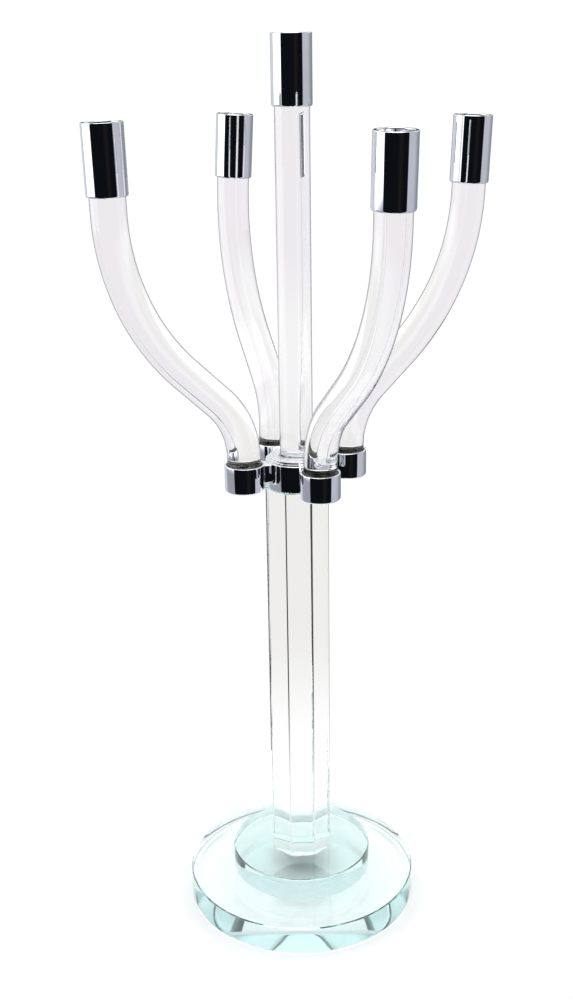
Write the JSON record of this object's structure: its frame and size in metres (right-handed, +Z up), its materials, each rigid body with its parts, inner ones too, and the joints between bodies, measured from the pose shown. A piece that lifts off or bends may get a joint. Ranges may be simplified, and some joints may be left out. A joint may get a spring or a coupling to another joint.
{
  "type": "crystal candelabra",
  "caption": "Crystal and chrome table candelabra: stepped round glass base, octagonal glass column, straight centre rod and S-curved glass arms ending in tall chrome candle cups.",
  "frame": {"origin": "on the table, under the column's axis, at the centre of the base's underside", "axes": "+Z up along the column; the column's flats face X and Y, and the pictured front is towards -Y"},
  "size_m": [0.2832, 0.2744, 0.668],
  "materials": {
    "clear_glass": "polished clear crystal, very faint cool tint",
    "aqua_glass": "polished thick crystal, aqua through its edge",
    "chrome": "mirror-polished chrome plate",
    "dark_rubber": "dark olive-grey speckled rubber",
    "adhesive": "clear cured adhesive, faint green",
    "clear_pad": "clear soft vinyl",
    "steel": "plain zinc-plated steel",
    "nylon": "white nylon"
  },
  "bodies": {
    "base": {"base_pad": "clear_pad", "base_disc": "aqua_glass", "base_bond": "adhesive", "step_disc": "aqua_glass", "step_bond": "adhesive", "column": "clear_glass", "cap_bond": "adhesive", "cap_plate": "chrome", "thrust_washer": "nylon", "spring_washer": "steel", "hub_nut": "steel"},
    "head": {"hub": "chrome", "rod_seat": "chrome", "rod_collar": "clear_pad", "link_right": "chrome", "link_back": "chrome", "link_left": "chrome", "link_front": "chrome", "socket_right": "chrome", "socket_back": "chrome", "socket_left": "chrome", "socket_front": "chrome", "socket_screws": "steel", "centre_rod": "clear_glass", "centre_cement": "adhesive", "centre_cup": "chrome"},
    "light_right": {"boot_right": "dark_rubber", "arm_right": "clear_glass", "cement_right": "adhesive", "cup_right": "chrome"},
    "light_back": {"boot_back": "dark_rubber", "arm_back": "clear_glass", "cement_back": "adhesive", "cup_back": "chrome"},
    "light_left": {"boot_left": "dark_rubber", "arm_left": "clear_glass", "cement_left": "adhesive", "cup_left": "chrome"},
    "light_front": {"boot_front": "dark_rubber", "arm_front": "clear_glass", "cement_front": "adhesive", "cup_front": "chrome"}
  },
  "joints": [
    {"name": "head_turn", "type": "hinge", "parent": "base", "child": "head", "pos_m": [0, 0, 0.3512], "axis": [0, 0, 1], "continuous": true},
    {"name": "right_arm_swing", "type": "hinge", "parent": "head", "child": "light_right", "pos_m": [0.03846, 0.01477, 0.3537], "axis": [0, 0, 1], "range_deg": [-45, 45]},
    {"name": "back_arm_swing", "type": "hinge", "parent": "head", "child": "light_back", "pos_m": [-0.01477, 0.03846, 0.3537], "axis": [0, 0, 1], "range_deg": [-45, 45]},
    {"name": "left_arm_swing", "type": "hinge", "parent": "head", "child": "light_left", "pos_m": [-0.03846, -0.01477, 0.3537], "axis": [0, 0, 1], "range_deg": [-45, 45]},
    {"name": "front_arm_swing", "type": "hinge", "parent": "head", "child": "light_front", "pos_m": [0.01477, -0.03846, 0.3537], "axis": [0, 0, 1], "range_deg": [-45, 45]}
  ]
}
